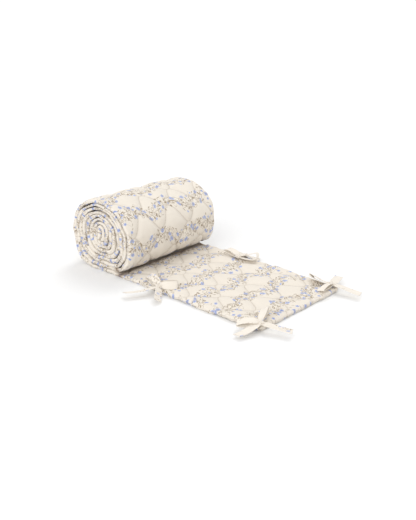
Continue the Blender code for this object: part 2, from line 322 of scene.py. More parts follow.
def band_route():
    """The whole band from its flat end to the core: arrays of s, outer x and z, inner x and z, skew
    share and turn, with turn above TURNS on the flat stretch."""
    rows = []
    steps = 120
    per_turn = 220
    lift = inner_face(TURNS)[1]
    for i in range(steps, 0, -1):
        share = i / steps
        x = FLAT_END * share
        thick = lift + (FLAT_THICKNESS - lift) * smooth((x - LIFT_START) / LIFT_LENGTH)
        rows.append((x, 0.0, x, thick, 1.0 - smooth(share), TURNS + share))
    for i in range(TURNS * per_turn, -1, -1):
        turn = i / per_turn
        rows.append((*outer_face(turn), *inner_face(turn), 1.0, turn))
    table = np.array(rows, float)
    middle = 0.5 * (table[:, 0:2] + table[:, 2:4])
    lengths = np.hypot(*np.diff(middle, axis=0).T)
    s = np.concatenate([[0.0], np.cumsum(lengths)])
    return np.column_stack([s, table])


ROUTE = band_route()
BAND_LENGTH = float(ROUTE[-1, 0])


def along(s, column):
    return np.interp(s, ROUTE[:, 0], ROUTE[:, column])


OUTER_X, OUTER_Z, INNER_X, INNER_Z, SKEW_SHARE, TURN = 1, 2, 3, 4, 5, 6


def s_at_turn(turn):
    return float(np.interp(-turn, -ROUTE[:, TURN], ROUTE[:, 0]))


FINE_END = s_at_turn(TURNS - 1.03)     # the fine mesh ends where the roll covers the band


# ======== relief of the cloth
def noise(u, v, seed):
    """Smooth noise from -1 to 1 on a unit lattice, the same ones each run."""
    table = np.random.default_rng(seed).uniform(-1.0, 1.0, (64, 64))
    iu, iv = np.floor(u).astype(int), np.floor(v).astype(int)
    fu, fv = smooth(u - iu), smooth(v - iv)
    a, b = table[iu % 64, iv % 64], table[(iu + 1) % 64, iv % 64]
    c, d = table[iu % 64, (iv + 1) % 64], table[(iu + 1) % 64, (iv + 1) % 64]
    return (a + (b - a) * fu) + ((c + (d - c) * fu) - (a + (b - a) * fu)) * fv


def seam_distance(s, y):
    """How far a place is from the nearest quilting seam."""
    phase = 2.0 * math.pi * (y - SEAM_SHIFT) / SEAM_WAVE
    steep = np.hypot(1.0, 2.0 * math.pi * SEAM_SWING / SEAM_WAVE * np.sin(phase))
    wander = SEAM_WANDER * np.sin(y * SEAM_WANDER_RATE)
    gaps = []
    for shift, way in ((0.0, -1.0), (SEAM_PITCH, 1.0)):
        part = (s - (SEAM_START + shift - SEAM_PITCH) + way * SEAM_SWING * np.cos(phase) - wander)
        part = part / (2.0 * SEAM_PITCH)
        gaps.append(np.abs(part - np.floor(part) - 0.5) * 2.0 * SEAM_PITCH)
    return np.minimum(*gaps) / steep


def relief(s, y, seed):
    """Height of the free cloth over its plain face: puffed panels, sharp seams, puckers and folds."""
    d = seam_distance(s, y)
    puff = 1.0 - np.exp(-(d / 0.0105) ** 1.35)
    valley = np.exp(-(d / 0.0022) ** 1.6)
    near = np.exp(-(d / 0.009) ** 2)
    pucker = noise(s / 0.0085, y / 0.0085, seed) * near
    folds = noise(y / 0.0105 + 0.35 * noise(s / 0.05, y / 0.05, seed + 1), s / 0.060, seed + 2)
    edge = np.exp(-((0.5 * WIDTH - np.abs(y)) / 0.022) ** 2)
    gather = noise(s / 0.0125, np.sign(y) * 3.0 + y / 0.05, seed + 3) * edge
    end = np.exp(-(s / 0.020) ** 2)
    end_gather = noise(y / 0.0125, s / 0.05, seed + 4) * end
    return (PUFF_HEIGHT * puff - PUFF_SINK + SEAM_CUT * (1.0 - valley) + PUCKER_HEIGHT * pucker
            + FOLD_HEIGHT * folds * puff + GATHER_HEIGHT * gather + GATHER_HEIGHT * end_gather)


def quilt_simulation():
    """Heights of the free cloth over its seams, on a grid over the stretch of band that shows. A flat
    sheet of cloth, a little too large, is held along the seams and blown up by pressure."""
    s_line = np.arange(0.0, FINE_END + 2.0 * SIM_STEP, SIM_STEP)
    y_line = np.linspace(-0.5 * WIDTH, 0.5 * WIDTH, SIM_ACROSS)
    s, y = np.meshgrid(s_line, y_line, indexing="ij")
    start = np.random.default_rng(3).uniform(0.0, SIM_ROUGH, s.shape)
    verts = np.stack([s, y, start], -1).reshape(-1, 3) * SIM_SCALE
    index = np.arange(s.size).reshape(s.shape)
    quads = np.stack([index[:-1, :-1], index[1:, :-1], index[1:, 1:], index[:-1, 1:]], -1).reshape(-1, 4)
    mesh = bpy.data.meshes.new("quilting_sheet")
    mesh.from_pydata(verts.tolist(), [], quads.tolist())
    sheet = bpy.data.objects.new("quilting_sheet", mesh)
    scene = bpy.context.scene
    scene.collection.objects.link(sheet)
    held = seam_distance(s, y) < SIM_SEAM
    held[0, :] = held[-1, :] = held[:, 0] = held[:, -1] = True
    pins = sheet.vertex_groups.new(name="seams")
    pins.add(index[held].tolist(), 1.0, "REPLACE")
    cloth = sheet.modifiers.new("cloth", "CLOTH")
    cloth.collision_settings.use_collision = False
    settings = cloth.settings
    settings.quality = 4
    settings.mass = 0.02
    settings.tension_stiffness = settings.compression_stiffness = 25.0
    settings.shear_stiffness = 8.0
    settings.bending_stiffness = 0.4
    settings.air_damping = 2.0
    settings.vertex_group_mass = "seams"
    settings.use_pressure = True
    settings.uniform_pressure_force = 3.0
    settings.shrink_min = -SIM_EXCESS
    settings.effector_weights.gravity = 0.0
    for number in range(1, SIM_FRAMES + 1):
        scene.frame_set(number)
    solved = sheet.evaluated_get(bpy.context.evaluated_depsgraph_get()).data
    places = np.empty(len(solved.vertices) * 3, np.float32)
    solved.vertices.foreach_get("co", places)
    heights = places.reshape(*s.shape, 3)[..., 2] / SIM_SCALE
    scene.frame_set(1)
    bpy.data.objects.remove(sheet)
    bpy.data.meshes.remove(mesh)
    return heights


SIM_HEIGHTS = quilt_simulation()


def simulated(s, y):
    """The simulated height at places of the band, between the points of its grid."""
    row = np.clip(s / SIM_STEP, 0.0, SIM_HEIGHTS.shape[0] - 1.001)
    column = np.clip((y / WIDTH + 0.5) * (SIM_ACROSS - 1), 0.0, SIM_ACROSS - 1.001)
    i, j = row.astype(int), column.astype(int)
    a, b = row - i, column - j
    h = SIM_HEIGHTS
    return ((h[i, j] * (1 - a) + h[i + 1, j] * a) * (1 - b)
            + (h[i, j + 1] * (1 - a) + h[i + 1, j + 1] * a) * b)


def puffed(s, y, seed):
    """Height of the cloth where it is free: the simulated quilting with its seams cut sharper."""
    if SIM_HEIGHTS is None:
        return relief(s, y, seed)
    d = seam_distance(s, y)
    valley = np.exp(-(d / 0.0020) ** 1.6)
    folds = noise(y / 0.0125 + 0.35 * noise(s / 0.05, y / 0.05, seed + 1), s / 0.060, seed + 2)
    return (SIM_GAIN * simulated(s, y) - SIM_SINK - SIM_VALLEY * valley
            + SIM_FOLDS * folds * smooth(d / 0.012))


def crease_stations():
    """Where the roll comes down on its own flat stretch: s on its outer face, and on the flat's."""
    s = np.linspace(s_at_turn(TURNS - 0.75), s_at_turn(TURNS - 1.0), 400)
    meets = s[np.argmax(along(s, OUTER_Z) < FLAT_THICKNESS + CREASE_GAP)]
    return meets, s_at_turn(TURNS + along(meets, OUTER_X) / FLAT_END)


ROLL_MEETS, FLAT_MEETS = crease_stations()


def place(s, y, side, lifts=0.0):
    """A place of the band's cloth in space: side is 1 on the outer face and -1 on the inner face."""
    s, y = np.broadcast_arrays(np.asarray(s, float), np.asarray(y, float))
    turn = along(s, TURN)
    outer = np.stack([along(s, OUTER_X), along(s, OUTER_Z)], -1)
    inner = np.stack([along(s, INNER_X), along(s, INNER_Z)], -1)
    middle = 0.5 * (outer + inner)
    reach = (outer if side > 0 else inner) - middle
    half = np.linalg.norm(reach, axis=-1)
    way = reach / half[..., None]

    # Rounding at the two long edges and at the flat end, with the end's corners cut round
    from_edge = 0.5 * WIDTH - np.abs(y)
    in_corner = (from_edge < CORNER_ROUND) & (s < CORNER_ROUND)
    to_edge, to_end = CORNER_ROUND - from_edge, CORNER_ROUND - s
    to_corner = np.hypot(to_edge, to_end)
    inward = np.where(in_corner, CORNER_ROUND - to_corner, np.minimum(from_edge, s))
    round_share = np.sqrt(np.clip(1.0 - (1.0 - np.clip(inward / EDGE_ROUND, 0.0, 1.0)) ** 2, 0.0, 1.0))
    share = EDGE_THIN + (1.0 - EDGE_THIN) * round_share

    # Free faces puff out; faces that are wound in or lie on the floor only sink at the seams
    raised = relief(s, y, 11 if side > 0 else 29)
    open_height = puffed(s, y, 11 if side > 0 else 29)
    tail_x = (turn - TURNS) * FLAT_END
    on_flat = smooth(tail_x / FLAT_FREE_RAMP - 0.9)
    (first, first_ramp), (last, last_ramp) = ROLL_FREE
    on_roll = smooth((turn - (TURNS - first)) / first_ramp) * (
        1.0 - smooth((turn - (TURNS - last)) / last_ramp))
    free = on_roll if side > 0 else on_flat * 0.8
    bound = np.minimum(raised, 0.0) * np.where(turn > TURNS - 1.0, *UNDER_SHARES)
    lift = bound + (open_height - bound) * free + 0.0004 * free
    if side > 0:
        under = smooth((s - ROLL_MEETS + TUCK_LENGTH) / TUCK_LENGTH)
        lift = lift - under * (TUCK_NEAR + TUCK_FAR * (0.5 + y / WIDTH)) * (turn < TURNS - 0.6)
    lift = lift * smooth(inward / 0.006) + lifts
    near_edge = np.exp(-(from_edge / 0.016) ** 2)
    edge_row = np.sign(y) * 3.0 + 9.0
    wavy = (EDGE_WAVES[0] * noise(s / 0.0155, edge_row, 51)
            + EDGE_WAVES[1] * noise(s / 0.043, edge_row, 52)) * near_edge
    fullness = 1.0 + EDGE_FULLNESS * noise(s / 0.011, edge_row, 53) * near_edge
    point = middle + way * (half * share * fullness + lift + side * wavy)[..., None]

    # The flat stretch is drawn in, the roll leans, and the edges wander
    drawn = (1.0 - FLAT_DRAW * smooth(tail_x / FLAT_DRAW_LENGTH)
             - END_DRAW * smooth((tail_x - FLAT_END + END_DRAW_LENGTH) / END_DRAW_LENGTH))
    gather = GATHERS[0] * noise(s / 0.013, turn, 5) + GATHERS[1] * noise(s / 0.09, turn, 6)
    skew = along(s, SKEW_SHARE)
    share_y = y / (0.5 * WIDTH)
    spread = (y * drawn + np.maximum(share_y, 0.0) * FAR_REACH * skew
              + np.sign(y) * gather * smooth(np.abs(share_y) * 4.0 - 3.0))
    end_wave = END_WAVE * noise(y / 0.016, s * 0.0, 7) * smooth(1.0 - s / 0.02)
    x = point[..., 0] - SKEW * spread * skew + end_wave

    # A corner cut round pulls its cells inward
    pull = np.where(in_corner, np.minimum(CORNER_ROUND - to_corner, 0.0), 0.0) / np.maximum(to_corner, 1e-9)
    spread = spread + np.sign(y) * pull * to_edge
    x = x + pull * to_end
    z = np.maximum(point[..., 1], 0.0) * (1.0 - TAPER * 0.5 * (1.0 + share_y))
    return np.stack([x, spread, z], -1)


# ======== meshes
def new_piece(name, verts, faces, maps, mat):
    """A mesh piece, with one UV map for each entry of maps, a place for each vertex."""
    mesh = bpy.data.meshes.new(name)
    mesh.from_pydata([tuple(v) for v in verts], [], faces)
    index = np.empty(len(mesh.loops), np.int32)
    mesh.loops.foreach_get("vertex_index", index)
    for map_name, places in maps.items():
        layer = mesh.uv_layers.new(name=map_name)
        layer.data.foreach_set("uv", np.asarray(places, np.float32)[index].ravel())
    mesh.shade_smooth()
    mesh.materials.append(mat)
    piece = bpy.data.objects.new(name, mesh)
    bpy.context.scene.collection.objects.link(piece)
    return piece


def across_stations():
    """The coarse lines across the band, closer together at the sewn edges, and the fine ones between."""
    near = [0.0, 0.0014, 0.0036, 0.0070]
    inner = np.linspace(0.0125, 0.5 * WIDTH, ACROSS_CELLS // 2 - len(near) + 1)
    from_edge = np.concatenate([near, inner])
    left = from_edge - 0.5 * WIDTH
    coarse = np.concatenate([left, -left[-2::-1]])
    fine = np.empty(2 * len(coarse) - 1)
    fine[0::2] = coarse
    fine[1::2] = 0.5 * (coarse[:-1] + coarse[1:])
    return coarse, fine


def along_stations():
    ends = np.array([0.0, 0.0007, 0.0018, 0.0035, 0.0058])
    fine = np.concatenate([ends, np.arange(0.0085, FINE_END, FINE_STEP), [FINE_END]])
    coarse = [FINE_END]
    while coarse[-1] < BAND_LENGTH - 0.004:
        left = BAND_LENGTH - coarse[-1]
        coarse.append(coarse[-1] + min(COARSE_STEP, 0.0032 + 0.008 * left))
    coarse[-1] = BAND_LENGTH
    return fine, np.array(coarse[1:])


def make_band(mat):
    """One closed mesh of both faces, fine where it shows and coarser inside the roll."""
    coarse_y, fine_y = across_stations()
    fine_s, coarse_s = along_stations()
    verts, cloth, printed, faces = [], [], [], []

    def row(s, ys, side):
        start = len(verts)
        verts.extend(place(s, ys, side))
        cloth.extend(np.column_stack([np.full(len(ys), s), ys]))
        shift_s, shift_y = OUTER_PRINT if side > 0 else INNER_PRINT
        printed.extend(np.column_stack([np.full(len(ys), s + shift_s), ys + shift_y]))
        return list(range(start, start + len(ys)))

    grids = {}
    for side in (1, -1):
        grids[side] = [row(s, fine_y, side) for s in fine_s] + [row(s, coarse_y, side) for s in coarse_s]

    def quad(a, b, c, d, flip):
        faces.append((a, b, c, d) if flip else (d, c, b, a))

    for side in (1, -1):
        rows = grids[side]
        flip = side > 0
        for near, far in zip(rows, rows[1:]):
            if len(near) == len(far):
                for i in range(len(near) - 1):
                    quad(near[i], near[i + 1], far[i + 1], far[i], flip)
            else:
                for i in range(len(far) - 1):
                    five = (near[2 * i], near[2 * i + 1], near[2 * i + 2], far[i + 1], far[i])
                    faces.append(five if flip else five[::-1])
    up, down = grids[1], grids[-1]
    for near_a, near_b, far_a, far_b in zip(up, down, up[1:], down[1:]):
        quad(near_b[0], near_a[0], far_a[0], far_b[0], True)
        quad(near_a[-1], near_b[-1], far_b[-1], far_a[-1], True)
    for i in range(len(up[0]) - 1):
        quad(up[0][i + 1], up[0][i], down[0][i], down[0][i + 1], True)
    for i in range(len(up[-1]) - 1):
        quad(up[-1][i], up[-1][i + 1], down[-1][i + 1], down[-1][i], True)
    return new_piece("quilted_band_cloth", verts, faces, {"cloth": cloth, "print": printed}, mat)


# ======== stitches
def seam_places(number, way):
    """Points of one quilting seam, one for each end of its stitches, as arrays of s and y."""
    y = np.linspace(-0.5 * WIDTH + STITCH_CLEAR, 0.5 * WIDTH - STITCH_CLEAR, 3000)
    phase = 2.0 * math.pi * (y - SEAM_SHIFT) / SEAM_WAVE
    start = SEAM_START + (SEAM_PITCH if way > 0 else 0.0) - SEAM_PITCH
    s = (start + (2.0 * number + 1.0) * SEAM_PITCH - way * SEAM_SWING * np.cos(phase)
         + SEAM_WANDER * np.sin(y * SEAM_WANDER_RATE))
    run = np.concatenate([[0.0], np.cumsum(np.hypot(np.diff(s), np.diff(y)))])
    count = int(run[-1] / STITCH_PITCH)
    first = np.arange(count) * STITCH_PITCH
    ends = np.stack([first, first + STITCH_LENGTH], -1)
    return np.interp(ends, run, s), np.interp(ends, run, y)


def make_stitches(mat):
    """The quilting thread on both faces that show: one short thread bar for each stitch."""
    verts, faces = [], []
    for side, s_low, s_high in ((1, s_at_turn(TURNS - 0.06), s_at_turn(TURNS - 0.99)),
                                (-1, STITCH_CLEAR, s_at_turn(TURNS + 0.12))):
        for way in (-1.0, 1.0):
            for number in range(-2, int(s_high / SEAM_PITCH)):
                s, y = seam_places(number, way)
                keep = (s.min(1) > s_low) & (s.max(1) < s_high)
                if not keep.any():
                    continue
                s, y = s[keep], y[keep]
                tip_a = place(s[:, 0], y[:, 0], side)
                tip_b = place(s[:, 1], y[:, 1], side)
                crown = place(s.mean(1), y.mean(1), side, STITCH_THREAD)
                base = place(s.mean(1), y.mean(1), side)
                up = crown - base
                up /= np.linalg.norm(up, axis=1, keepdims=True)
                run = tip_b - tip_a
                run /= np.linalg.norm(run, axis=1, keepdims=True)
                wide = np.cross(run, up)
                for a, b, c, n, w in zip(tip_a, tip_b, base, up, wide):
                    add_thread(a, b, c, n, w, verts, faces)
    piece = new_piece("quilting_stitches", verts, faces, {}, mat)
    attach(piece, "root")
    return piece


def add_thread(tip_a, tip_b, middle, up, wide, verts, faces):
    """One stitch: a thread of four sides that rises from the cloth and goes back into it."""
    start = len(verts)
    half = 0.5 * STITCH_THREAD
    rings = (
        # centre, rise, size
        (tip_a, -0.6, 0.7),
        (0.65 * tip_a + 0.35 * middle, 0.5, 1.0),
        (0.65 * tip_b + 0.35 * middle, 0.5, 1.0),
        (tip_b, -0.6, 0.7),
    )
    for centre, rise, size in rings:
        spot = centre + up * (rise * STITCH_THREAD)
        for u, w in ((1.0, 0.0), (0.0, 1.0), (-1.0, 0.0), (0.0, -1.0)):
            verts.append(spot + up * (u * half * size) + wide * (w * half * size))
    for ring in range(3):
        for k in range(4):
            a, b = start + 4 * ring + k, start + 4 * ring + (k + 1) % 4
            faces.append((a, b, b + 4, a + 4))
    faces.append((start + 3, start + 2, start + 1, start))
    faces.append((start + 12, start + 13, start + 14, start + 15))


# ======== ties
def spline_points(points, step):
    """A smooth route through points given in millimetres, as vectors in metres."""
    pts = [Vector(p) * 0.001 for p in points]
    pts = [pts[0] * 2.0 - pts[1], *pts, pts[-1] * 2.0 - pts[-2]]
    route = []
    for a, b, c, d in zip(pts, pts[1:], pts[2:], pts[3:]):
        pieces = max(2, round((c - b).length / step))
        for i in range(pieces):
            t = i / pieces
            route.append(0.5 * ((2.0 * b) + (c - a) * t + (2.0 * a - 5.0 * b + 4.0 * c - d) * t * t
                                + (3.0 * b - a - 3.0 * c + d) * t ** 3))
    route.append(pts[-2])
    return route


RIBBON_PROFILE = (
    # share_of_half_width, thickness_share, lift
    (-1.00, 0.80, 0.00010),
    (-0.93, 1.15, 0.00000),
    (-0.80, 1.20, -0.00005),
    (-0.74, 0.85, 0.00000),
    (-0.35, 0.80, 0.00035),
    (0.00, 0.80, 0.00050),
    (0.35, 0.80, 0.00035),
    (0.74, 0.85, 0.00000),
    (0.80, 1.20, -0.00005),
    (0.93, 1.15, 0.00000),
    (1.00, 0.80, 0.00010),
)


def ribbon(points, lean, seed, verts, faces, uv, start_uv):
    """A strip of the ties' cloth along a route, with its two sewn edges; returns its length."""
    route = spline_points(points, TIE_STEP)
    looped = (route[-1] - route[0]).length < LOOP_CLOSES
    first = route[len(route) // 2] - route[0] if looped else route[-1] - route[0]
    level = Vector((first.y, -first.x, 0.0)).normalized()
    tilt = math.radians(lean)
    side = (level * math.cos(tilt) + Vector((0.0, 0.0, math.sin(tilt)))).normalized()
    rings = []
    length = 0.0
    total = sum((b - a).length for a, b in zip(route, route[1:]))
    for i, point in enumerate(route):
        if i:
            length += (point - route[i - 1]).length
        forward = (route[min(i + 1, len(route) - 1)] - route[max(i - 1, 0)]).normalized()
        across = side if looped else (side - forward * side.dot(forward)).normalized()
        up = forward.cross(across).normalized()
        from_knot = min(length, total - length) if looped else length
        gathered = 1.0 - float(smooth(from_knot / TIE_GATHER))
        half = 0.5 * TIE_WIDTH * (1.0 - (1.0 - ROOT_SHARE) * gathered)
        slant = 0.0 if looped or i < len(route) - 1 else TAIL_SLANT
        ripple = TIE_RIPPLE * float(noise(np.array(length / 0.018), np.array(seed * 1.7), 41))
        twist = TIE_TWIST * float(noise(np.array(length / 0.030), np.array(seed * 2.3), 43))
        twist *= 1.0 - gathered
        turned_across = across * math.cos(twist) + up * math.sin(twist)
        turned_up = up * math.cos(twist) - across * math.sin(twist)
        ring_top, ring_low = [], []
        for w, thick, lift in RIBBON_PROFILE:
            fold = ROOT_FOLD * gathered * math.cos(w * math.pi * 2.5)
            centre = (point + turned_across * (half * w) + forward * (slant * w)
                      + turned_up * (lift + ripple * (1 - abs(w)) + fold))
            for ring, way in ((ring_top, 0.5), (ring_low, -0.5)):
                ring.append(len(verts))
                verts.append(centre + turned_up * (way * thick * TIE_THICKNESS))
                uv.append((w * 0.5 * TIE_WIDTH + start_uv[0], length + start_uv[1]))
        rings.append(ring_top + ring_low[::-1])
    n = len(rings[0])
    for a, b in zip(rings, rings[1:]):
        for k in range(n):
            j = (k + 1) % n
            faces.append((a[k], a[j], b[j], b[k]))
    half_n = n // 2
    for ring, flip in ((rings[0], True), (rings[-1], False)):
        for k in range(half_n - 1):
            cap = (ring[k], ring[k + 1], ring[n - 2 - k], ring[n - 1 - k])
            faces.append(cap if flip else cap[::-1])
    return length


def knot_cloth(place_mm, verts, faces, uv):
    """The knot: a rounded, creased ball of the same cloth."""
    rows, columns = KNOT_ROWS, KNOT_COLUMNS
    centre = Vector(place_mm) * 0.001
    start = len(verts)
    power = 0.75
    for i in range(rows + 1):
        tilt = math.pi * i / rows
        for j in range(columns):
            turn = 2.0 * math.pi * j / columns
            level = math.sin(tilt)
            way = Vector((level * math.cos(turn), level * math.sin(turn), math.cos(tilt)))
            crease = 1.0 + 0.07 * math.sin(5.0 * turn + 6.0 * math.cos(tilt)) * level
            verts.append(centre + Vector([0.5 * size * crease * abs(c) ** power * (1 if c >= 0 else -1)
                                          for size, c in zip(KNOT_SIZE, way)]))
            uv.append((0.5 * GARLAND_PITCH + 0.0014 * (j - 10), 0.0018 * i))
    for i in range(rows):
        for j in range(columns):
            k = (j + 1) % columns
            a, b = start + i * columns, start + (i + 1) * columns
            faces.append((a + j, b + j, b + k, a + k))


# Where the print lies on the strands that show it; the others are nearly plain
TIE_PRINT = {
    ("tie_near_middle", 0): (0.0385, 0.030),
    ("tie_near_middle", 2): (0.059, 0.0975),
    ("tie_near_corner", 3): (0.142, 0.0450),
}


def make_tie(name, plan, mat):
    verts, faces, uv = [], [], []
    knot_cloth(plan["knot"], verts, faces, uv)
    total = 0.0
    for number, (points, lean) in enumerate(plan["strands"]):
        spot = TIE_PRINT.get((name, number), (number * GARLAND_PITCH, 0.05))
        total += ribbon(points, lean, number + len(name), verts, faces, uv, spot)
    piece = new_piece(f"{name}_cloth", verts, faces, {"print": uv}, mat)
    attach(piece, "root")
    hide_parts(name)
    return piece


# ======== materials
class Wire:
    """A number in a shader's node tree, with arithmetic that adds the nodes it needs."""

    def __init__(self, tree, socket):
        self.tree = tree
        self.socket = socket

    def run(self, operation, *others, clamp=False):
        node = self.tree.nodes.new("ShaderNodeMath")
        node.operation = operation
        node.use_clamp = clamp
        for slot, value in zip(node.inputs, (self, *others)):
            if isinstance(value, Wire):
                self.tree.links.new(value.socket, slot)
            else:
                slot.default_value = value
        return Wire(self.tree, node.outputs[0])

    def __add__(self, other):
        return self.run("ADD", other)

    def __sub__(self, other):
        return self.run("SUBTRACT", other)

    def __mul__(self, other):
        return self.run("MULTIPLY", other)

    def __truediv__(self, other):
        return self.run("DIVIDE", other)

    def below(self, limit, soft):
        """1 where the number is under a limit, 0 over it, with a soft edge."""
        gap = self * -1.0 + limit
        return (gap / soft).run("ADD", 0.5, clamp=True)


def mix_colour(tree, share, first, second):
    node = tree.nodes.new("ShaderNodeMix")
    node.data_type = "RGBA"
    slots = (node.inputs[0], node.inputs[6], node.inputs[7])
    for slot, value in zip(slots, (share, first, second)):
        if isinstance(value, Wire):
            tree.links.new(value.socket, slot)
        elif isinstance(value, tuple):
            slot.default_value = (*value, 1.0)
        else:
            slot.default_value = value
    return Wire(tree, node.outputs[2])


def uv_numbers(tree, name):
    """The two numbers of a UV map."""
    source = tree.nodes.new("ShaderNodeUVMap")
    source.uv_map = name
    split = tree.nodes.new("ShaderNodeSeparateXYZ")
    tree.links.new(source.outputs[0], split.inputs[0])
    return Wire(tree, split.outputs[0]), Wire(tree, split.outputs[1])


def joined(tree, u, v, seed):
    """The socket of a vector of two wires and a plain number."""
    join = tree.nodes.new("ShaderNodeCombineXYZ")
    tree.links.new(u.socket, join.inputs[0])
    tree.links.new(v.socket, join.inputs[1])
    join.inputs[2].default_value = seed
    return join.outputs[0]


def random_three(tree, u, v, seed):
    """Three random numbers from 0 to 1 for a cell."""
    white = tree.nodes.new("ShaderNodeTexWhiteNoise")
    white.noise_dimensions = "3D"
    tree.links.new(joined(tree, u, v, seed), white.inputs["Vector"])
    split = tree.nodes.new("ShaderNodeSeparateColor")
    tree.links.new(white.outputs["Color"], split.inputs[0])
    return [Wire(tree, socket) for socket in split.outputs[:3]]


def cloud(tree, u, v, size, seed, detail=2.0):
    """Soft noise from 0 to 1 with patches of about the given size."""
    texture = tree.nodes.new("ShaderNodeTexNoise")
    texture.inputs["Scale"].default_value = 1.0 / size
    texture.inputs["Detail"].default_value = detail
    tree.links.new(joined(tree, u, v, seed * 0.37), texture.inputs["Vector"])
    return Wire(tree, texture.outputs[0])


GARLAND_PITCH = 0.077         # between garlands, along the band
GARLAND_SWING = 0.0105
GARLAND_WAVE = 0.126
SOFT = 0.00035                # how soft a printed edge is


class Garlands:
    """The print's own coordinates: rows of garlands that wander across the band."""

    def __init__(self, tree, u, v):
        self.tree = tree
        self.v = v
        self.row = (u / GARLAND_PITCH).run("FLOOR")
        centre = (self.row + 0.5) * GARLAND_PITCH
        swing = (v * (2.0 * math.pi / GARLAND_WAVE) + self.row * 2.1).run("SINE") * GARLAND_SWING
        wobble = (v * (2.0 * math.pi / 0.057) + self.row * 4.7).run("SINE") * 0.003
        self.t = u - centre - swing - wobble

    def stem(self, wave, swing, phase, width):
        """A thin winding stem along the garland."""
        path = ((self.v * (2.0 * math.pi / wave) + self.row * 1.7 + phase).run("SINE") * swing
                + (self.v * (2.0 * math.pi / (wave * 0.41)) + phase).run("SINE") * (swing * 0.35))
        return (self.t - path).run("ABSOLUTE").below(width, SOFT)

    def cell(self, pitch, seed, reach, side=0.0, jitter=0.25):
        """A motif's own coordinates in cells along the garland: distance, turn and random numbers."""
        index = (self.v / pitch).run("FLOOR")
        first, second, third = random_three(self.tree, self.row, index, seed)
        parity = (index * 0.5).run("FRACT").run("ABSOLUTE") * 4.0 - 1.0
        across = parity * side + (first - 0.5) * (2.0 * reach)
        along_v = (index + 0.5) * pitch + (second - 0.5) * (2.0 * jitter * pitch)
        dx = self.t - across
        dy = self.v - along_v
        angle = third * (2.0 * math.pi)
        return dx, dy, angle, (first, second, third)

    def petals(self, pitch, seed, reach, radius, count, side=0.0):
        """A flower with round petals: how far inside it a place is, as radius and rim."""
        dx, dy, angle, rand = self.cell(pitch, seed, reach, side)
        distance = (dx * dx + dy * dy).run("SQRT")
        turn = dy.run("ARCTAN2", dx) + angle
        lobe = (turn * (0.5 * count)).run("COSINE").run("ABSOLUTE").run("POWER", 0.6)
        size = (rand[1] * 0.25 + 0.875) * radius
        rim = (lobe * 0.42 + 0.58) * size
        return distance, rim, rand

    def leaf(self, pitch, seed, reach, length, width):
        """A pointed leaf at a random angle: below 1 inside it."""
        dx, dy, angle, rand = self.cell(pitch, seed, reach, jitter=0.12)
        c, s = angle.run("COSINE"), angle.run("SINE")
        x = (dx * c + dy * s) / length
        y = (dy * c - dx * s) / width
        return x * x + y.run("ABSOLUTE"), rand

    def curl(self, pitch, seed, reach, radius, width):
        """A tendril: an open ring."""
        dx, dy, angle, rand = self.cell(pitch, seed, reach, jitter=0.15)
        distance = (dx * dx + dy * dy).run("SQRT")
        turn = ((dy.run("ARCTAN2", dx) + angle) / (2.0 * math.pi)).run("FRACT")
        size = (rand[0] * 0.5 + 0.7) * radius
        spiral = size * (turn * 0.7 + 0.55)
        line = (distance - spiral).run("ABSOLUTE").below(width, SOFT)
        return line * turn.below(0.80, 0.02)


CREAM = (0.785, 0.725, 0.640)
TIE_CREAM = (0.97, 0.91, 0.83)
PALE = (0.84, 0.79, 0.71)
TAUPE = (0.235, 0.165, 0.095)
LEAF = (0.36, 0.30, 0.20)
BLUE = (0.370, 0.440, 0.700)
DEEP_BLUE = (0.215, 0.275, 0.520)
LIGHT_BLUE = (0.52, 0.58, 0.78)
STAMEN = (0.75, 0.62, 0.30)
THREAD = (0.62, 0.54, 0.44)
# Painted shade in the crease between the roll and its flat stretch: its dark brown colour, and where its
# darkest line lies past each meeting place, with its reach
CREASE_SHADE_COLOUR = (0.19, 0.110, 0.055)
ROLL_CREASE_SHADE = (0.015, 0.008)  # depth of the darkest painted shade past the meeting place, and its reach
FLAT_CREASE_SHADE = (0.010, 0.009)
EDGE_GARLAND = 0.006          # the edge garlands' mean line lies this far inside the edge


